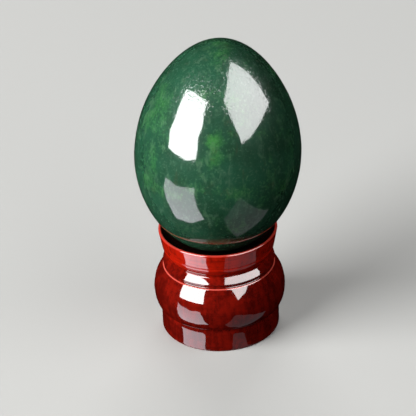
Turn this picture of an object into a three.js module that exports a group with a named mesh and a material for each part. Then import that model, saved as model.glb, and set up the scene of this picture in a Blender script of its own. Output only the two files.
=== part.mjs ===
// A polished green stone egg resting, pointed end up, in a one-piece turned wooden stand.
// Millimetres, +Z up. The origin is the centre of the stand's flat underside.
import * as THREE from 'three';

// Egg: its size, and how much fuller its lower half is than an ellipsoid's.
const EGG_DIAMETER = 45;
const EGG_HEIGHT = 61.4;
const EGG_TAPER = -0.0864;
const EGG_FULLNESS = -0.076;

// How the egg sits: height of its lowest point, the level on its own axis (-1 at the bottom, +1 at
// the top) of the ring it rests on, its lean towards +X, and the clearance at the seat.
const EGG_BOTTOM = 25.2;
const SEAT_LEVEL = -0.9656;
const EGG_LEAN = THREE.MathUtils.degToRad(3.6);
const SEAT_CLEARANCE = 0.3;

// Rings of the stand are [radius, height]. A pull is the point that a curve bends towards.
// Foot: an upright band with eased edges, and the cove above it.
const FOOT_RADIUS = 16.35;
const FOOT_HEIGHT = 5.9;
const FOOT_EDGE = 0.45;
const COVE = [15.95, 7.1];

// Body: an elliptical arc below the widest ring, which stops short of its own centre line by a share
// of its reach, then a steep belly and a sloping shoulder above the ring.
const BODY_RADIUS = 18.2;
const BODY_HEIGHT = 12.5;
const LOWER_REACH = 1.9;
const LOWER_DROP = 5.3;
const LOWER_STOP = 0.2;
const BELLY_PULL = [BODY_RADIUS, 13.3];
const BELLY_TOP = [17.75, 15.4];
const SHOULDER_PULL = [17.49, 16.62];

// Sharp arris on top of the body, the groove above it, and the bead with its sloping top.
const ARRIS = [15.48, 19.6];
const LEDGE = [15.05, 19.85];
const GROOVE_BOTTOM = [14.95, 20.15];
const GROOVE_TOP = [14.95, 20.6];
const BEAD_UNDERSIDE = [15.38, 20.8];
const BEAD_EDGE = [15.5, 21.0];
const BEAD_PULL = [14.76, 21.82];
const BEAD_TOP = [14.1, 22.47];

// Neck: a hollow above the bead, then a wall that turns upwards and opens a little to the lip.
const HOLLOW_PULL = [13.8, 22.77];
const NECK_BOTTOM = [14.1, 23.15];
const NECK_PULL = [15.15, 24.4];
const NECK_TOP = [15.38, 25.3];
const LIP_RADIUS = 16.36;
const LIP_HEIGHT = 30.8;
const LIP_EDGE = 0.45;
const LIP_TURN = THREE.MathUtils.degToRad(160);

// Cup: a short steep wall inside the lip, a cone that carries the egg, and a small flat floor.
const CONE_RADIUS = 14.3;
const FLOOR_RADIUS = 2.5;

// Facets round the axis, rows along the egg, and steps along each curve of the stand's outline.
const FACETS = 60;
const EGG_ROWS = 26;
const CURVE_STEPS = 3;

// Egg outline: a circle's half-width, made fuller or leaner along the axis by two terms.
function eggShape(level) {
  const bias = 1 + EGG_TAPER * level + EGG_FULLNESS * level * level;
  return Math.sqrt(Math.max(0, 1 - level * level)) * bias;
}

// The widest level is where the shape's slope is zero, found by halving.
function widestLevel() {
  const step = 1e-4;
  let low = -0.5;
  let high = 0.5;
  while (high - low > step) {
    const middle = (low + high) / 2;
    const rising = eggShape(middle + step) > eggShape(middle);
    if (rising) low = middle;
    else high = middle;
  }
  return (low + high) / 2;
}

const EGG_SCALE = EGG_DIAMETER / 2 / eggShape(widestLevel());

function eggPoint(level) {
  return new THREE.Vector2(EGG_SCALE * eggShape(level), (EGG_HEIGHT * (level + 1)) / 2);
}

// Point of the egg's outline on the seat ring, and the outward direction there.
function seatContact() {
  const reach = 0.001;
  const point = eggPoint(SEAT_LEVEL);
  const along = eggPoint(SEAT_LEVEL + reach).sub(eggPoint(SEAT_LEVEL - reach)).normalize();
  return { point, outward: new THREE.Vector2(along.y, -along.x) };
}

const CONTACT = seatContact();

function turned(outline) {
  const geometry = new THREE.LatheGeometry(outline, FACETS);
  return geometry.rotateX(Math.PI / 2);
}

// Egg, with its lowest point at its own origin.
function eggGeometry() {
  const outline = [];
  for (let row = 0; row <= EGG_ROWS; row += 1) {
    outline.push(eggPoint(-Math.cos((Math.PI * row) / EGG_ROWS)));
  }
  outline[0].x = 0;
  outline[EGG_ROWS].x = 0;
  return turned(outline);
}

// Stand outline, from the centre of the underside round the outside and back to the cup's floor.
function standOutline() {
  const path = new THREE.Path();
  addFoot(path);
  addBody(path);
  addBead(path);
  addNeck(path);
  addCup(path);
  return path.getPoints(CURVE_STEPS);
}

function addFoot(path) {
  const inner = FOOT_RADIUS - FOOT_EDGE;
  path.moveTo(0, 0);
  path.lineTo(inner, 0);
  path.absarc(inner, FOOT_EDGE, FOOT_EDGE, -Math.PI / 2, 0, false);
  path.lineTo(FOOT_RADIUS, FOOT_HEIGHT - FOOT_EDGE);
  path.quadraticCurveTo(FOOT_RADIUS, FOOT_HEIGHT, ...COVE);
}

function addBody(path) {
  const centre = BODY_RADIUS - LOWER_REACH;
  path.absellipse(centre, BODY_HEIGHT, LOWER_REACH, LOWER_DROP, -Math.acos(LOWER_STOP), 0, false, 0);
  path.quadraticCurveTo(...BELLY_PULL, ...BELLY_TOP);
  path.quadraticCurveTo(...SHOULDER_PULL, ...ARRIS);
}

function addBead(path) {
  path.lineTo(...LEDGE);
  path.lineTo(...GROOVE_BOTTOM);
  path.lineTo(...GROOVE_TOP);
  path.lineTo(...BEAD_UNDERSIDE);
  path.lineTo(...BEAD_EDGE);
  path.quadraticCurveTo(...BEAD_PULL, ...BEAD_TOP);
}

function addNeck(path) {
  path.quadraticCurveTo(...HOLLOW_PULL, ...NECK_BOTTOM);
  path.quadraticCurveTo(...NECK_PULL, ...NECK_TOP);
  path.lineTo(LIP_RADIUS, LIP_HEIGHT - LIP_EDGE);
  path.absarc(LIP_RADIUS - LIP_EDGE, LIP_HEIGHT - LIP_EDGE, LIP_EDGE, 0, LIP_TURN, false);
}

// The cone runs parallel to the egg's side at the seat, the clearance away from it.
function addCup(path) {
  const { point, outward } = CONTACT;
  const seat = outward.clone().multiplyScalar(SEAT_CLEARANCE).add(point);
  const coneHeight = (radius) => EGG_BOTTOM + seat.y - ((radius - seat.x) * outward.x) / outward.y;
  path.lineTo(CONE_RADIUS, coneHeight(CONE_RADIUS));
  path.lineTo(FLOOR_RADIUS, coneHeight(FLOOR_RADIUS));
  path.lineTo(0, coneHeight(FLOOR_RADIUS));
}

function standGeometry() {
  const outline = standOutline();
  outline[outline.length - 1].x = 0;
  return turned(outline);
}

const stone = new THREE.MeshStandardMaterial({ color: '#33704c', roughness: 0.12, metalness: 0 });
const lacqueredWood = new THREE.MeshStandardMaterial({ color: '#7c160d', roughness: 0.18, metalness: 0 });

const egg = new THREE.Mesh(eggGeometry(), stone);
egg.name = 'egg';

const stand = new THREE.Mesh(standGeometry(), lacqueredWood);
stand.name = 'stand';

// The egg leans about the point on its axis that its seat ring is centred on, so it stays seated.
const pivot = CONTACT.point.y - (CONTACT.point.x * CONTACT.outward.y) / CONTACT.outward.x;
const seated = new THREE.Group();
seated.position.z = EGG_BOTTOM + pivot;
seated.rotation.y = EGG_LEAN;
egg.position.z = -pivot;
seated.add(egg);

const eggOnStand = new THREE.Group();
eggOnStand.add(stand, seated);

export default eggOnStand;
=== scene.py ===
"""A polished green stone egg resting in a turned, lacquered wooden stand, laid out as an add-on.

Lengths are in metres, +Z is up and the origin is the centre of the stand's underside.
"""

import math

import bpy
import numpy as np
from mathutils import Matrix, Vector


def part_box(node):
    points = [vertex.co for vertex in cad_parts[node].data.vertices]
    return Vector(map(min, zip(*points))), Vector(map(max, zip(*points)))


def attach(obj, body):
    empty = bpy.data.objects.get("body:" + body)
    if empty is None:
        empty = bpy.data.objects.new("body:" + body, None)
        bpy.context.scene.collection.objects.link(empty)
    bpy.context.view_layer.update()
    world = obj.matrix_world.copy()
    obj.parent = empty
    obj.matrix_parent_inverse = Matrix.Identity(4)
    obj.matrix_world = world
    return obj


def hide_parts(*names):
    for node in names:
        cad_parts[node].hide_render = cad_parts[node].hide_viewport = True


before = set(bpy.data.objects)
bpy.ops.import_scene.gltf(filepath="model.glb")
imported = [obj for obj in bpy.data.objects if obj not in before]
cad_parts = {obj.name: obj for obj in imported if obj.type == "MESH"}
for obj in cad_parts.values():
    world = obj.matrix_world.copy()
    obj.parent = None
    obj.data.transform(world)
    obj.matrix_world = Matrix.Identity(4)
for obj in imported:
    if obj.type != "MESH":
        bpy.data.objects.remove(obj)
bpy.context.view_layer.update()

bl_info = {
    "name": "Stone egg on a turned stand",
    "version": (1, 0, 0),
    "blender": (4, 5, 0),
    "location": "View3D > Sidebar > Stone Egg",
    "description": "Makes a polished stone egg, its turned wooden stand and a plain stage for them",
    "category": "Add Mesh",
}

BODY = "root"
MM = 0.001

# The widest radius of the stand, from the frame.
STAND_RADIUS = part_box("stand")[1][0]


# Properties


def length(name, description, default):
    """A length that a user may change, in metres."""
    return bpy.props.FloatProperty(
        name=name, description=description, default=default, subtype="DISTANCE", unit="LENGTH", precision=5
    )


def ring(name, description, radius, height):
    """Radius and height of a ring that a user may change, given in millimetres and kept in metres."""
    default = (radius * MM, height * MM)
    return bpy.props.FloatVectorProperty(
        name=name, description=description, default=default, size=2, unit="LENGTH", precision=5
    )


def angle(name, description, degrees):
    """An angle that a user may change, given in degrees and kept in radians."""
    return bpy.props.FloatProperty(
        name=name, description=description, default=math.radians(degrees), subtype="ANGLE", unit="ROTATION"
    )


def amount(name, description, default):
    """A plain number that a user may change."""
    return bpy.props.FloatProperty(name=name, description=description, default=default, precision=4)


def colour(name, description, default):
    """A linear colour that a user may change."""
    return bpy.props.FloatVectorProperty(
        name=name, description=description, default=default, size=3, subtype="COLOR", min=0, max=1
    )


class EggSettings(bpy.types.PropertyGroup):
    diameter: length("Diameter", "Width at the widest ring", 45 * MM)
    height: length("Height", "Length from end to end", 61.4 * MM)
    taper: amount("Taper", "How much leaner the upper half is", -0.0864)
    fullness: amount("Fullness", "How much both ends are drawn in", -0.076)
    bottom: length("Bottom", "Height of the lowest point before the egg leans", 25.2 * MM)
    seat_level: amount("Seat level", "Level of the ring that rests, from -1 at the bottom to 1", -0.9656)
    seat_clearance: length("Seat clearance", "Gap between egg and stand", 0.3 * MM)
    lean: angle("Lean", "Lean towards +X", 3.6)
    waviness: length("Waviness", "How far the hand polish strays from the true shape", 0.025 * MM)
    deep: colour("Deep green", "Darkest clouds in the stone", (0.007, 0.034, 0.016))
    body: colour("Body green", "Main colour of the stone", (0.0120, 0.058, 0.030))
    leaf: colour("Leaf green", "Yellow-green patches", (0.030, 0.142, 0.031))
    milk: colour("Milky green", "Pale threads and grains", (0.058, 0.118, 0.072))
    brown: colour("Brown", "Rusty fibres", (0.052, 0.040, 0.018))


class StandSettings(bpy.types.PropertyGroup):
    foot_radius: length("Foot radius", "Upright band at the bottom", 16.35 * MM)
    foot_height: length("Foot height", "Top of the upright band", 5.9 * MM)
    foot_edge: length("Foot edge", "Rounding of the foot's lower edge", 0.45 * MM)
    cove: ring("Cove", "Narrowest ring above the foot", 15.95, 7.1)
    body_radius: length("Body radius", "Widest ring of the stand", STAND_RADIUS)
    body_height: length("Body height", "Height of the widest ring", 12.5 * MM)
    lower_reach: length("Lower reach", "Half width of the arc below the widest ring", 1.9 * MM)
    lower_drop: length("Lower drop", "Half height of the arc below the widest ring", 5.3 * MM)
    lower_stop: amount("Lower stop", "Share of the lower reach left at the cove", 0.2)
    belly_pull: length("Belly pull", "Height that the belly's curve bends towards", 13.3 * MM)
    belly_top: ring("Belly top", "Where the belly turns into the shoulder", 17.75, 15.4)
    shoulder_pull: ring("Shoulder pull", "Ring that the shoulder's curve bends towards", 17.49, 16.62)
    arris: ring("Arris", "Sharp ring on top of the body", 15.48, 19.6)
    ledge: ring("Ledge", "Inner end of the ledge behind the arris", 15.05, 19.85)
    groove_bottom: ring("Groove bottom", "Lower end of the groove", 14.95, 20.15)
    groove_top: ring("Groove top", "Upper end of the groove", 14.95, 20.6)
    bead_underside: ring("Bead underside", "Lower corner of the bead", 15.38, 20.8)
    bead_edge: ring("Bead edge", "Widest ring of the bead", 15.5, 21.0)
    bead_pull: ring("Bead pull", "Ring that the bead's sloping top bends towards", 14.76, 21.82)
    bead_top: ring("Bead top", "Upper end of the bead's sloping top", 14.1, 22.47)
    hollow_pull: ring("Hollow pull", "Ring that the hollow above the bead bends towards", 13.8, 22.77)
    neck_bottom: ring("Neck bottom", "Where the neck's wall starts", 14.1, 23.15)
    neck_pull: ring("Neck pull", "Ring that the neck's wall bends towards", 15.15, 24.4)
    neck_top: ring("Neck top", "Where the neck's wall turns straight", 15.38, 25.3)
    scribe_height: length("Scribe height", "Height of the fine line cut round the neck", 26.0 * MM)
    scribe_depth: length("Scribe depth", "Depth of that line", 0.08 * MM)
    scribe_width: length("Scribe width", "Half width of that line", 0.12 * MM)
    lip_radius: length("Lip radius", "Outside of the lip", 16.36 * MM)
    lip_height: length("Lip height", "Top of the lip", 30.8 * MM)
    lip_edge: length("Lip edge", "Rounding of the lip", 0.45 * MM)
    lip_turn: angle("Lip turn", "How far the lip's rounding turns inwards", 160)
    cone_radius: length("Cone radius", "Upper end of the cone that carries the egg", 14.3 * MM)
    floor_radius: length("Cup floor", "Radius of the flat floor of the cup", 2.5 * MM)
    waviness: length("Waviness", "How far the lacquer's surface strays from the true shape", 0.008 * MM)
    stain: colour("Stain", "Red-brown stain", (0.125, 0.0038, 0.0017))
    dark_stain: colour("Dark stain", "Stain gathered in the grain", (0.050, 0.0018, 0.0010))
    warm_stain: colour("Warm stain", "Lighter stain on the neck", (0.300, 0.0072, 0.0018))
    # Painted shade: the cup's inside is coloured dark for the shade that falls in it.
    cup_painted_shade: colour("Cup painted shade", "Dark inside of the cup", (0.010, 0.0022, 0.0014))
    # Partly stain rubbed thin, partly a painted highlight line on the arris, the lip and the foot's edge.
    rubbed_stain_and_highlight: colour("Rubbed stain and highlight", "Stain rubbed thin on the edges", (0.52, 0.075, 0.055))


class StageSettings(bpy.types.PropertyGroup):
    aim_height: length("Aim height", "Height that the camera looks at", 36.3 * MM)
    distance: length("Distance", "From the camera to that point", 0.6)
    elevation: angle("Elevation", "How far the camera looks down", 30.45)
    roll: angle("Roll", "Turn of the camera about its line of sight", -2.0)
    lens: amount("Lens", "Focal length in millimetres on a 36 mm sensor", 190.0)
    shift: amount("Shift", "Sideways shift of the picture, as a share of its width", -0.0219)
    key_shine: amount("Key shine", "Brightness of the left light panel in the gloss", 15.0)
    key_glow: amount("Key glow", "Brightness of the left light panel on the colours", 15.8)
    key_turn: angle("Key turn", "How much further left the panel's glow comes from", -12.0)
    fill_shine: amount("Fill shine", "Brightness of the right light panel in the gloss", 8.4)
    fill_glow: amount("Fill glow", "Brightness of the right light panel on the colours", 2.1)
    back_glow: amount("Back glow", "Brightness of the panel behind on the colours", 6.0)
    key_bounce: amount("Key bounce", "Share of the left panel's shine that comes back from below", 0.24)
    fill_bounce: amount("Fill bounce", "Share of the right panel's shine that comes back from below", 0.03)
    bounce_colour: colour("Bounce colour", "Cool tint of the shine from below", (0.96, 0.92, 1.0))
    bounce_turn: angle("Bounce turn", "Turn of the light from below about the axis", -4.0)
    glow_reach: amount("Glow reach", "How many times as far off the panels that light the colours are", 8.0)
    ambient: amount("Ambient", "Strength of the light from all round", 0.035)
    backdrop: amount("Backdrop", "Brightness of the surroundings where they show past the floor", 0.75)
    floor_size: length("Floor size", "Side of the floor", 3.0)
    floor_colour: colour("Floor", "Pale floor", (0.36, 0.36, 0.35))


# Shapes


def line(start, stop, count):
    """Straight stretch of an outline: count points from start to stop, both included."""
    share = np.linspace(0.0, 1.0, count)[:, None]
    return np.asarray(start) * (1 - share) + np.asarray(stop) * share


def arc(centre, reach, start, stop, count):
    """Elliptical stretch: centre plus the reaches times cosine and sine of an even run of angles."""
    turn = np.linspace(start, stop, count)
    return np.stack([centre[0] + reach[0] * np.cos(turn), centre[1] + reach[1] * np.sin(turn)], axis=1)


def bend(start, pull, stop, count):
    """Curved stretch: start, pull and stop weighted by (1-s) squared, 2s(1-s) and s squared."""
    share = np.linspace(0.0, 1.0, count)[:, None]
    weights = (1 - share) ** 2, 2 * share * (1 - share), share**2
    return sum(weight * np.asarray(point) for weight, point in zip(weights, (start, pull, stop)))


def joined(*stretches):
    """One outline from stretches end to end, without the points that repeat where two meet."""
    points = np.concatenate(stretches)
    step = np.linalg.norm(np.diff(points, axis=0), axis=1)
    return points[np.concatenate([[True], step > 1e-7])]


def revolved(radius, height, turns):
    """Closed surface of revolution.

    radius and height are arrays of rows by turns, where the first and the last row are single points
    on the axis. A point is (radius times cosine, radius times sine, height) of its turn.
    Returns the points and the faces: a fan at each pole and quads between, all facing out.
    """
    count = len(turns)
    rows = radius.shape[0] - 2
    ring = np.stack([radius * np.cos(turns), radius * np.sin(turns), height], axis=-1)[1:-1]
    poles = np.array([[0.0, 0.0, height[0, 0]], [0.0, 0.0, height[-1, 0]]])
    points = np.concatenate([ring.reshape(-1, 3), poles])
    here = np.arange(count)
    there = np.roll(here, -1)
    base = (np.arange(rows - 1) * count)[:, None]
    quads = np.stack([base + here, base + there, base + count + there, base + count + here], axis=-1)
    bottom, top = rows * count, rows * count + 1
    last = (rows - 1) * count
    fan_low = np.stack([np.full(count, bottom), there, here], axis=-1)
    fan_high = np.stack([last + here, last + there, np.full(count, top)], axis=-1)
    return points, quads.reshape(-1, 4).tolist() + fan_low.tolist() + fan_high.tolist()


def piece(name, points, faces, material):
    """A smooth mesh object at the origin with one material, in the scene's collection."""
    mesh = bpy.data.meshes.new(name)
    mesh.from_pydata(points.tolist(), [], faces)
    mesh.shade_smooth()
    mesh.materials.append(material)
    made = bpy.data.objects.new(name, mesh)
    bpy.context.scene.collection.objects.link(made)
    return made


# Slow waves on each piece: share, waves round the axis, climb along the axis, and where the wave starts.
EGG_WAVES = (
    (1.0, 3, 5.0, 0.4),
    (0.8, 5, -7.0, 1.9),
    (0.6, 2, 13.0, 3.1),
    (0.4, 9, 11.0, 0.7),
    (0.5, 17, 23.0, 1.1),
    (0.2, 31, -37.0, 0.5),
)
STAND_WAVES = (
    (1.0, 17, 2.1, 0.3),
    (0.8, 29, -3.7, 1.2),
    (0.5, 41, 5.3, 2.6),
)
STAND_WAVE_UNIT = 5 * MM


def waves(terms, turns, along):
    """Sum over the terms: share times the sine of around times turn, plus climb times along, plus start."""
    return sum(
        share * np.sin(around * turns + climb * along + start) for share, around, climb, start in terms
    )


# Levels tried for the egg's widest ring, and the step between levels for its slope at the seat.
LEVEL_COUNT = 20001
LEVEL_STEP = 0.001


def egg_outline(egg, level):
    """Half width at each level from -1 to 1: a circle's, times 1 plus the taper and fullness terms."""
    run = np.linspace(-1.0, 1.0, LEVEL_COUNT)

    def shape(at):
        return np.sqrt(np.clip(1 - at**2, 0, None)) * (1 + egg.taper * at + egg.fullness * at**2)

    return egg.diameter / 2 * shape(level) / shape(run).max()


def seat_contact(egg):
    """Point of the egg's outline on its seat ring, above its bottom, and the outward direction there."""
    levels = egg.seat_level + LEVEL_STEP * np.array([-1.0, 0.0, 1.0])
    across = egg_outline(egg, levels)
    up = egg.height * (levels + 1) / 2
    along = np.array([across[2] - across[0], up[2] - up[0]])
    along /= np.linalg.norm(along)
    return np.array([across[1], up[1]]), np.array([along[1], -along[0]])


def egg_surface(egg, rows=200, turn_count=288):
    """Egg as a surface of level and turn.

    The level is minus the cosine of an even run of angles. The half width is the egg outline plus a few
    slow waves, which fade out at the ends. The whole is turned by the lean about the point on the axis
    where the seat ring's normals meet, so that the seat ring stays on its seat.
    """
    turns = np.linspace(0, 2 * np.pi, turn_count, endpoint=False)
    level = -np.cos(np.linspace(0, np.pi, rows))[:, None]
    across = egg_outline(egg, level)
    radius = across + egg.waviness * waves(EGG_WAVES, turns, level) * (1 - level**2)
    height = np.broadcast_to(egg.height * (level + 1) / 2, radius.shape)
    points, faces = revolved(radius, height, turns)
    contact, outward = seat_contact(egg)
    pivot = contact[1] - contact[0] * outward[1] / outward[0]
    x, y, z = points[:, 0], points[:, 1], points[:, 2] - pivot
    sine, cosine = math.sin(egg.lean), math.cos(egg.lean)
    raised = pivot + egg.bottom
    leaned = np.stack([cosine * x + sine * z, y, cosine * z - sine * x + raised], axis=1)
    return leaned, faces


def foot_outline(stand):
    """Underside, eased lower edge, upright band, and the turn into the cove."""
    inner = stand.foot_radius - stand.foot_edge
    band_top = (stand.foot_radius, stand.foot_height - stand.foot_edge)
    return joined(
        line((0, 0), (inner, 0), 10),
        arc((inner, stand.foot_edge), (stand.foot_edge, stand.foot_edge), -np.pi / 2, 0, 10),
        line((stand.foot_radius, stand.foot_edge), band_top, 12),
        bend(band_top, (stand.foot_radius, stand.foot_height), stand.cove, 14),
    )


def body_outline(stand):
    """Elliptical arc from the cove to the widest ring, then the belly and the shoulder up to the arris."""
    centre = (stand.body_radius - stand.lower_reach, stand.body_height)
    reach = (stand.lower_reach, stand.lower_drop)
    widest = (stand.body_radius, stand.body_height)
    return joined(
        arc(centre, reach, -math.acos(stand.lower_stop), 0, 36),
        bend(widest, (stand.body_radius, stand.belly_pull), stand.belly_top, 20),
        bend(stand.belly_top, stand.shoulder_pull, stand.arris, 36),
    )


def neck_outline(stand):
    """Ledge, groove, bead, hollow, the wall that opens to the lip, and the lip's rounding.

    The wall has one fine line cut round it, as deep as a bell curve of the height.
    """
    lip = (stand.lip_radius, stand.lip_height - stand.lip_edge)
    lip_centre = (lip[0] - stand.lip_edge, lip[1])
    wall = line(stand.neck_top, lip, 90)
    off_scribe = (wall[:, 1] - stand.scribe_height) / stand.scribe_width
    wall[:, 0] -= stand.scribe_depth * np.exp(-(off_scribe**2))
    return joined(
        line(stand.arris, stand.ledge, 5),
        line(stand.ledge, stand.groove_bottom, 4),
        line(stand.groove_bottom, stand.groove_top, 4),
        line(stand.groove_top, stand.bead_underside, 4),
        line(stand.bead_underside, stand.bead_edge, 4),
        bend(stand.bead_edge, stand.bead_pull, stand.bead_top, 20),
        bend(stand.bead_top, stand.hollow_pull, stand.neck_bottom, 14),
        bend(stand.neck_bottom, stand.neck_pull, stand.neck_top, 20),
        wall,
        arc(lip_centre, (stand.lip_edge, stand.lip_edge), 0, stand.lip_turn, 24),
    )


def cup_outline(stand, egg):
    """Cone parallel to the egg's side at the seat, the clearance away from it, and a flat floor."""
    contact, outward = seat_contact(egg)
    seat = contact + egg.seat_clearance * outward
    radius = np.array([stand.cone_radius, stand.floor_radius])
    top, floor = egg.bottom + seat[1] - (radius - seat[0]) * outward[0] / outward[1]
    return joined(
        line((stand.cone_radius, top), (stand.floor_radius, floor), 20),
        line((stand.floor_radius, floor), (0, floor), 4),
    )


def stand_surface(stand, egg, turn_count=288):
    """Stand: the whole outline, from the underside's centre to the cup's floor, carried round the axis.

    A few slow waves along and round the surface are added to the radius, less towards the axis.
    """
    outline = joined(
        foot_outline(stand), body_outline(stand), neck_outline(stand), cup_outline(stand, egg)
    )
    turns = np.linspace(0, 2 * np.pi, turn_count, endpoint=False)
    radius = np.repeat(outline[:, :1], turn_count, axis=1)
    height = np.repeat(outline[:, 1:], turn_count, axis=1)
    strays = stand.waviness * waves(STAND_WAVES, turns, height / STAND_WAVE_UNIT)
    return revolved(radius + strays * radius / stand.body_radius, height, turns)


# Finishes

# Sockets of the Mix node when it blends colours.
MIX_SHARE, MIX_FIRST, MIX_SECOND, MIX_RESULT = 0, 6, 7, 2


class Value:
    """A number's socket in a material, for Python sums: each sum adds one Math node."""

    def __init__(self, finish, socket):
        self.finish = finish
        self.socket = socket

    def _math(self, operation, first, second):
        return self.finish.node("ShaderNodeMath", {"operation": operation}, {0: first, 1: second})

    def __add__(self, other):
        return self._math("ADD", self, other)

    def __sub__(self, other):
        return self._math("SUBTRACT", self, other)

    def __mul__(self, other):
        return self._math("MULTIPLY", self, other)

    def __rsub__(self, other):
        return self._math("SUBTRACT", other, self)

    __radd__ = __add__
    __rmul__ = __mul__


class Finish:
    """One material and the nodes that make it."""

    def __init__(self, name):
        self.material = bpy.data.materials.new(name)
        self.material.use_nodes = True
        self.tree = self.material.node_tree
        self.tree.nodes.clear()

    def node(self, kind, settings=None, sockets=None, out=0):
        """Adds a node: its settings first, then each socket's value or link. Returns one output."""
        made = self.tree.nodes.new(kind)
        for key, value in (settings or {}).items():
            setattr(made, key, value)
        for key, value in (sockets or {}).items():
            if isinstance(value, Value):
                self.tree.links.new(value.socket, made.inputs[key])
            elif isinstance(value, (tuple, list)) and made.inputs[key].type == "RGBA":
                made.inputs[key].default_value = (*value[:3], 1.0)
            else:
                made.inputs[key].default_value = value
        return Value(self, made.outputs[out])

    def place(self, scale=(1, 1, 1), turn=(0, 0, 0), shift=(0, 0, 0)):
        """Object coordinates, scaled, turned and shifted."""
        where = self.node("ShaderNodeTexCoord", out="Object")
        sockets = {"Vector": where, "Location": shift, "Rotation": turn, "Scale": scale}
        return self.node("ShaderNodeMapping", None, sockets)

    def noise(self, where, scale, detail=3.0, roughness=0.5, distortion=0.0):
        """Cloudy noise from 0 to 1."""
        sockets = {
            "Vector": where,
            "Scale": scale,
            "Detail": detail,
            "Roughness": roughness,
            "Distortion": distortion,
        }
        return self.node("ShaderNodeTexNoise", None, sockets, "Fac")

    def distance(self, where, spot):
        """Distance from a spot that is given in millimetres."""
        sockets = {0: where, 1: tuple(number * MM for number in spot)}
        return self.node("ShaderNodeVectorMath", {"operation": "DISTANCE"}, sockets, "Value")

    def fade(self, value, low, high):
        """0 below low and 1 above high, smooth between. A low above high fades the other way."""
        sockets = {"Value": value, "From Min": low, "From Max": high}
        return self.node("ShaderNodeMapRange", {"interpolation_type": "SMOOTHSTEP"}, sockets)

    def blend(self, share, first, second):
        """Colour from first to second as share goes from 0 to 1."""
        sockets = {MIX_SHARE: share, MIX_FIRST: first, MIX_SECOND: second}
        return self.node("ShaderNodeMix", {"data_type": "RGBA"}, sockets, MIX_RESULT)

    def bump(self, height, strength, distance, normal=None):
        """Normal of a surface raised by height."""
        sockets = {"Height": height, "Strength": strength, "Distance": distance}
        if normal is not None:
            sockets["Normal"] = normal
        return self.node("ShaderNodeBump", None, sockets)

    def surface(self, sockets):
        """Ends the material with one shader that has these sockets."""
        shader = self.node("ShaderNodeBsdfPrincipled", None, sockets)
        output = self.tree.nodes.new("ShaderNodeOutputMaterial")
        self.tree.links.new(shader.socket, output.inputs["Surface"])
        return self.material


# How deep the pits in the polish are, and how deep light goes into the stone.
PIT_DEPTH = 0.03 * MM
GLOW_DEPTH = 4 * MM

# Heights between which the pits thicken towards the top.
CROWN = (70 * MM, 78 * MM)

# Places on the egg where the yellow-green gathers and how far each reaches, in millimetres, and its share.
LEAF_SPOTS = (
    ((-0.7, -19.5, 67.9), 4.0, 0.24),
    ((-0.3, -20.8, 63.0), 4.5, 0.06),
    ((-14.0, -8.1, 72.9), 8.0, 0.07),
    ((-17.5, -13.2, 56.0), 9.0, 0.07),
    ((5.0, -22.0, 53.0), 6.0, 0.07),
)


def polished_stone(egg):
    """Deep green stone with soft yellow-green patches, grains, pale and rusty fibres, and a high polish.

    The patches follow a noise that is raised near a few spots. Fine pits in the polish, most of them
    towards the top, carry a duller gloss, which shows as specks round a highlight.
    """
    stone = Finish("polished green stone")
    plain = stone.place()
    slanted = stone.place(scale=(1.0, 1.0, 0.45), turn=(0.25, 0.35, 0.0))
    clouds = stone.noise(plain, scale=60, detail=5, roughness=0.62, distortion=0.3)
    elsewhere = stone.place(shift=(0.31, 0.12, 0.57))
    patches = stone.noise(elsewhere, scale=110, detail=5, roughness=0.65, distortion=0.2)
    fibres = stone.noise(slanted, scale=520, detail=4, roughness=0.65, distortion=0.5)
    rust = stone.noise(slanted, scale=330, detail=4, roughness=0.7, distortion=0.6)
    grains = stone.noise(plain, scale=1300, detail=3, roughness=0.65)
    near = 0.0
    for spot, reach, share in LEAF_SPOTS:
        near = near + stone.fade(stone.distance(plain, spot), reach * MM, 0.0) * share
    broken = patches * 0.55 + fibres * 0.2 + grains * 0.25
    leafy = stone.fade(broken + near, 0.51, 0.74)
    layers = (
        (leafy, egg.leaf),
        (stone.fade(fibres, 0.50, 0.76) * 0.55, egg.milk),
        (stone.fade(rust, 0.58, 0.76) * 0.35, egg.brown),
        (stone.fade(grains, 0.53, 0.76) * 0.55, egg.milk),
        (stone.fade(grains, 0.44, 0.24) * 0.60, egg.deep),
    )
    colour = stone.blend(stone.fade(clouds, 0.34, 0.66), tuple(egg.deep), tuple(egg.body))
    for share, tone in layers:
        colour = stone.blend(share, colour, tuple(tone))
    height = stone.node("ShaderNodeSeparateXYZ", None, {0: plain}, 2)
    crown = stone.fade(height, *CROWN)
    specks = stone.noise(stone.place(shift=(0.2, 0.7, 0.4)), scale=1800, detail=2, roughness=0.6)
    pits = stone.fade(specks, 0.55, 0.70) * (0.12 + crown * 0.88)
    relief = stone.bump(pits * -1.0, strength=0.65, distance=PIT_DEPTH)
    return stone.surface({
        "Base Color": colour,
        "Roughness": 0.05 + pits * 0.10,
        "IOR": 1.62,
        "Specular IOR Level": 0.6,
        "Subsurface Weight": 0.3,
        "Subsurface Radius": (0.6, 1.0, 0.7),
        "Subsurface Scale": GLOW_DEPTH,
        "Coat Weight": 0.10 + crown * 0.08 + pits * 0.6,
        "Coat Roughness": 0.38,
        "Coat IOR": 1.5,
        "Normal": relief,
    })


# How deep the turning rings and the specks under the lacquer are.
RING_DEPTH = 0.04 * MM
SPECK_DEPTH = 0.1 * MM

# Distances from the arris and from the top of the lip between which the stain is rubbed thin and a painted
# highlight line is laid.
ARRIS_RUBBED_AND_HIGHLIT = (0.16 * MM, 0.04 * MM)
LIP_RUBBED_AND_HIGHLIT = (0.4 * MM, 0.1 * MM)

# The cup begins between these heights, and between these distances within the neck's outer wall.
CUP_HEIGHTS = (24.2 * MM, 24.6 * MM)
CUP_WITHIN = (0.6 * MM, 0.8 * MM)


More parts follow.
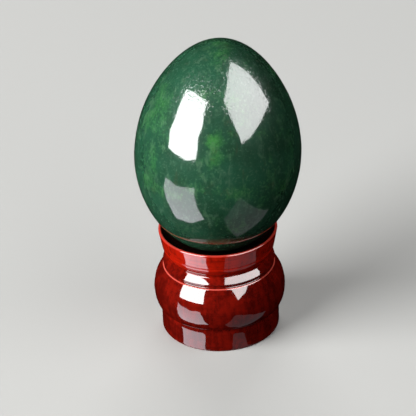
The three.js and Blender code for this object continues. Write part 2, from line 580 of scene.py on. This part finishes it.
def lacquered_wood(stand):
    """Red stained wood, blotched and speckled, with fine turning rings, under a thick clear gloss.

    The stain is a little lighter on the neck. The arris, the lip and the foot's edge are lighter, partly
    stain rubbed thin and partly a painted highlight line, and the inside of the cup is painted dark for
    shade.
    """
    wood = Finish("red lacquered wood")
    plain = wood.place()
    blotches = wood.noise(plain, scale=200, detail=4, roughness=0.6, distortion=0.3)
    specks = wood.noise(plain, scale=700, detail=3, roughness=0.6)
    upright = wood.place(scale=(1.0, 1.0, 0.14))
    grain = wood.noise(upright, scale=750, detail=4, roughness=0.6, distortion=0.3)
    level = wood.place(scale=(0.05, 0.05, 1.0))
    rings = wood.noise(level, scale=1500, detail=3, roughness=0.6)
    height = wood.node("ShaderNodeSeparateXYZ", None, {0: plain}, 2)
    uneven = blotches * 0.4 + specks * 0.25 + grain * 0.35
    colour = wood.blend(wood.fade(uneven, 0.40, 0.62), tuple(stand.dark_stain), tuple(stand.stain))
    on_neck = wood.fade(height, stand.bead_edge[1], stand.neck_top[1])
    colour = wood.blend(on_neck * wood.fade(uneven, 0.30, 0.54), colour, tuple(stand.warm_stain))
    colour = wood.blend(wood.fade(rings, 0.52, 0.70) * 0.5, colour, tuple(stand.dark_stain))
    off_arris = wood.node("ShaderNodeMath", {"operation": "ABSOLUTE"}, {0: height - stand.arris[1]})
    near_arris = wood.fade(off_arris, *ARRIS_RUBBED_AND_HIGHLIT)
    near_lip = wood.fade(stand.lip_height - height, *LIP_RUBBED_AND_HIGHLIT)
    near_foot = wood.fade(height, stand.foot_edge, 0.3 * stand.foot_edge)
    # Painted highlight: the edges' lighter colour is partly stain rubbed thin, partly a highlight line laid
    # on the arris, lip and foot edge.
    for edge, share in ((near_arris, 0.9), (near_lip, 0.35), (near_foot, 0.3)):
        colour = wood.blend(edge * share, colour, tuple(stand.rubbed_stain_and_highlight))
    # Painted shade: inside the cup the colour goes near black and the coat thins, for the shade there.
    inside = in_cup(wood, plain, height, stand)
    colour = wood.blend(inside, colour, tuple(stand.cup_painted_shade))
    relief = wood.bump(rings, strength=0.2, distance=RING_DEPTH)
    relief = wood.bump(specks, strength=0.12, distance=SPECK_DEPTH, normal=relief)
    return wood.surface({
        "Base Color": colour,
        "Roughness": 0.30 + specks * 0.1,
        "IOR": 1.5,
        "Specular IOR Level": 0.0,
        "Coat Weight": 1 - inside * 0.8,
        "Coat Roughness": 0.04,
        "Coat IOR": 1.7,
        "Normal": relief,
    })


def in_cup(wood, plain, height, stand):
    """Mask for the painted shade in the cup, 1 inside the cup and 0 outside: how far a point lies within
    the neck's straight outer wall.
    """
    lip = (stand.lip_radius, stand.lip_height - stand.lip_edge)
    slope = (lip[0] - stand.neck_top[0]) / (lip[1] - stand.neck_top[1])
    flat = wood.node("ShaderNodeVectorMath", {"operation": "MULTIPLY"}, {0: plain, 1: (1, 1, 0)})
    radius = wood.node("ShaderNodeVectorMath", {"operation": "LENGTH"}, {0: flat}, "Value")
    within = (height - stand.neck_top[1]) * slope + stand.neck_top[0] - radius
    return wood.fade(within, *CUP_WITHIN) * wood.fade(height, *CUP_HEIGHTS)


def pale_floor(stage):
    """Plain matt floor with a barely seen unevenness."""
    floor = Finish("pale floor")
    tone = floor.noise(floor.place(), scale=2.5, detail=2)
    shade = tuple(channel * 0.94 for channel in stage.floor_colour)
    colour = floor.blend(tone, shade, tuple(stage.floor_colour))
    return floor.surface({"Base Color": colour, "Roughness": 0.9, "Specular IOR Level": 0.1})


# Stage

# Width of the camera's sensor in millimetres, and the height that the light panels are seen from.
SENSOR_WIDTH = 36
SEEN_FROM = 50 * MM

# Light panels, in degrees and metres.
KEY_PANEL = {
    "azimuth": -53.0,
    "facing": -41.4,
    "tilt": 21.8,
    "roll": -1.6,
    "distance": 0.225,
    "height": 0.153,
    "width": 0.203,
    "tall": 0.204,
}
FILL_PANEL = {
    "azimuth": 44.6,
    "facing": 78.9,
    "tilt": 23.7,
    "roll": 4.5,
    "distance": 0.132,
    "height": 0.179,
    "width": 0.201,
    "tall": 0.177,
}
BACK_PANEL = {
    "azimuth": 180.0,
    "facing": 180.0,
    "tilt": 10.0,
    "roll": 0.0,
    "distance": 0.22,
    "height": 0.15,
    "width": 0.20,
    "tall": 0.18,
}


def looking(spot, side, ahead, roll):
    """Place of a light or a camera at a spot: it looks ahead, with side on its right, then rolls."""
    up = np.cross(side, ahead)
    across = math.cos(roll) * side + math.sin(roll) * up
    upright = math.cos(roll) * up - math.sin(roll) * side
    matrix = np.eye(4)
    matrix[:3] = np.stack([across, upright, -ahead, spot], axis=1)
    return matrix


def panel_matrix(panel):
    """Place of a light panel.

    Azimuth 0 is the camera's side and 90 is +X. The panel stands at that azimuth, at a distance from
    the axis and a height, faces away from its facing azimuth and looks down by the tilt.
    """
    angles = (panel["azimuth"], panel["facing"], panel["tilt"], panel["roll"])
    azimuth, facing, tilt, roll = (math.radians(value) for value in angles)
    side = np.array([math.cos(facing), math.sin(facing), 0.0])
    level = np.array([-math.sin(facing), math.cos(facing), 0.0])
    ahead = math.cos(tilt) * level - math.sin(tilt) * np.array([0.0, 0.0, 1.0])
    spot = np.array([math.sin(azimuth), -math.cos(azimuth), 0.0]) * panel["distance"]
    spot[2] = panel["height"]
    return looking(spot, side, ahead, roll)


def farther(panel, times):
    """The same panel as the egg sees it, times as far away and as large."""
    grown = {key: panel[key] * times for key in ("distance", "width", "tall")}
    grown["height"] = SEEN_FROM + (panel["height"] - SEEN_FROM) * times
    return {**panel, **grown}


def turned(matrix, turn):
    """A place turned about the stand's axis."""
    return np.array(Matrix.Rotation(turn, 4, "Z")) @ matrix


def mirrored(matrix):
    """Mirror image of a place below the floor, with its handedness kept."""
    image = matrix.copy()
    image[2, :] *= -1
    image[:3, 0] *= -1
    return image


def light_panel(name, panel, matrix, strength, gloss=True, colours=True, tint=(1, 1, 1)):
    """A rectangular soft light of even brightness, seen in the gloss, on the colours, or both."""
    data = bpy.data.lights.new(name, "AREA")
    data.shape = "RECTANGLE"
    data.size = panel["width"]
    data.size_y = panel["tall"]
    data.energy = strength * math.pi * panel["width"] * panel["tall"]
    data.color = tint
    made = bpy.data.objects.new(name, data)
    made.matrix_world = Matrix(matrix.tolist())
    made.visible_camera = False
    made.visible_glossy = gloss
    made.visible_diffuse = colours
    bpy.context.scene.collection.objects.link(made)


def stage_lights(stage):
    """Left and right panels in front, one behind, and the shine of the front ones from below.

    The gloss sees the panels close by. The colours and the floor are lit by the same panels from afar,
    which lights the floor evenly.
    """
    key, fill = panel_matrix(KEY_PANEL), panel_matrix(FILL_PANEL)
    key_image, fill_image = (turned(mirrored(place), stage.bounce_turn) for place in (key, fill))
    key_share = stage.key_shine * stage.key_bounce
    fill_share = stage.fill_shine * stage.fill_bounce
    light_panel("key shine", KEY_PANEL, key, stage.key_shine, colours=False)
    light_panel("fill shine", FILL_PANEL, fill, stage.fill_shine, colours=False)
    tint = tuple(stage.bounce_colour)
    light_panel("key bounce", KEY_PANEL, key_image, key_share, colours=False, tint=tint)
    light_panel("fill bounce", FILL_PANEL, fill_image, fill_share, colours=False, tint=tint)
    far_key, far_fill, far_back = (
        farther(panel, stage.glow_reach) for panel in (KEY_PANEL, FILL_PANEL, BACK_PANEL)
    )
    key_place = turned(panel_matrix(far_key), stage.key_turn)
    light_panel("key glow", far_key, key_place, stage.key_glow, gloss=False)
    light_panel("fill glow", far_fill, panel_matrix(far_fill), stage.fill_glow, gloss=False)
    light_panel("back glow", far_back, panel_matrix(far_back), stage.back_glow, gloss=False)


def stage_floor(stage):
    """Flat square floor in the plane of the stand's underside, which throws no light back on the pieces."""
    half = stage.floor_size / 2
    corners = np.array([[-half, -half, 0], [half, -half, 0], [half, half, 0], [-half, half, 0]])
    floor = piece("floor", corners, [[0, 1, 2, 3]], pale_floor(stage))
    floor.visible_diffuse = False
    floor.visible_glossy = False
    floor.visible_shadow = False


def stage_camera(stage):
    """Camera in front, looking down at the aim height, rolled about its own line of sight."""
    data = bpy.data.cameras.new("camera")
    data.sensor_width = SENSOR_WIDTH
    data.lens = stage.lens
    data.shift_x = stage.shift
    made = bpy.data.objects.new("camera", data)
    sine, cosine = math.sin(stage.elevation), math.cos(stage.elevation)
    ahead = np.array([0.0, cosine, -sine])
    side = np.array([1.0, 0.0, 0.0])
    spot = np.array([0.0, 0.0, stage.aim_height]) - ahead * stage.distance
    made.matrix_world = Matrix(looking(spot, side, ahead, stage.roll).tolist())
    bpy.context.scene.collection.objects.link(made)
    bpy.context.scene.camera = made


def stage_world(stage):
    """Even, faint light from all round, which shows as a pale backdrop past the floor."""
    world = bpy.data.worlds.new("surroundings")
    bpy.context.scene.world = world
    world.use_nodes = True
    world.cycles_visibility.glossy = False
    tree = world.node_tree
    background = tree.nodes["Background"]
    background.inputs["Color"].default_value = (1.0, 1.0, 1.0, 1.0)
    path = tree.nodes.new("ShaderNodeLightPath")
    strength = tree.nodes.new("ShaderNodeMapRange")
    strength.inputs["To Min"].default_value = stage.ambient
    strength.inputs["To Max"].default_value = stage.backdrop
    tree.links.new(path.outputs["Is Camera Ray"], strength.inputs["Value"])
    tree.links.new(strength.outputs["Result"], background.inputs["Strength"])
    bpy.context.scene.view_settings.view_transform = "Standard"


# Operators


class STONEEGG_OT_stage(bpy.types.Operator):
    """Adds the floor, the light panels and the camera"""

    bl_idname = "stone_egg.stage"
    bl_label = "Set the Stage"

    def execute(self, context):
        stage = context.scene.stone_egg_stage
        stage_camera(stage)
        stage_world(stage)
        stage_floor(stage)
        stage_lights(stage)
        return {"FINISHED"}


class STONEEGG_OT_egg(bpy.types.Operator):
    """Makes the stone egg in its seat"""

    bl_idname = "stone_egg.egg"
    bl_label = "Make the Egg"

    def execute(self, context):
        egg = context.scene.stone_egg
        made = piece("stone_egg", *egg_surface(egg), polished_stone(egg))
        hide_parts("egg")
        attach(made, BODY)
        return {"FINISHED"}


class STONEEGG_OT_stand(bpy.types.Operator):
    """Makes the turned wooden stand"""

    bl_idname = "stone_egg.stand"
    bl_label = "Make the Stand"

    def execute(self, context):
        stand = context.scene.stone_egg_stand
        egg = context.scene.stone_egg
        made = piece("turned_stand", *stand_surface(stand, egg), lacquered_wood(stand))
        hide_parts("stand")
        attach(made, BODY)
        return {"FINISHED"}


class STONEEGG_PT_sidebar(bpy.types.Panel):
    """Lists the pieces and the stage"""

    bl_idname = "STONEEGG_PT_sidebar"
    bl_label = "Stone Egg"
    bl_space_type = "VIEW_3D"
    bl_region_type = "UI"
    bl_category = "Stone Egg"

    def draw(self, context):
        for operator in OPERATORS:
            self.layout.operator(operator.bl_idname)
        scene = context.scene
        for group in (scene.stone_egg, scene.stone_egg_stand, scene.stone_egg_stage):
            column = self.layout.column()
            for name in group.__annotations__:
                column.prop(group, name)


OPERATORS = (STONEEGG_OT_stage, STONEEGG_OT_stand, STONEEGG_OT_egg)
CLASSES = (EggSettings, StandSettings, StageSettings, *OPERATORS, STONEEGG_PT_sidebar)


def register():
    for item in CLASSES:
        bpy.utils.register_class(item)
    bpy.types.Scene.stone_egg = bpy.props.PointerProperty(type=EggSettings)
    bpy.types.Scene.stone_egg_stand = bpy.props.PointerProperty(type=StandSettings)
    bpy.types.Scene.stone_egg_stage = bpy.props.PointerProperty(type=StageSettings)


def unregister():
    del bpy.types.Scene.stone_egg_stage
    del bpy.types.Scene.stone_egg_stand
    del bpy.types.Scene.stone_egg
    for item in reversed(CLASSES):
        bpy.utils.unregister_class(item)


def main():
    register()
    bpy.ops.stone_egg.stage()
    bpy.ops.stone_egg.stand()
    bpy.ops.stone_egg.egg()


if __name__ == "__main__":
    main()
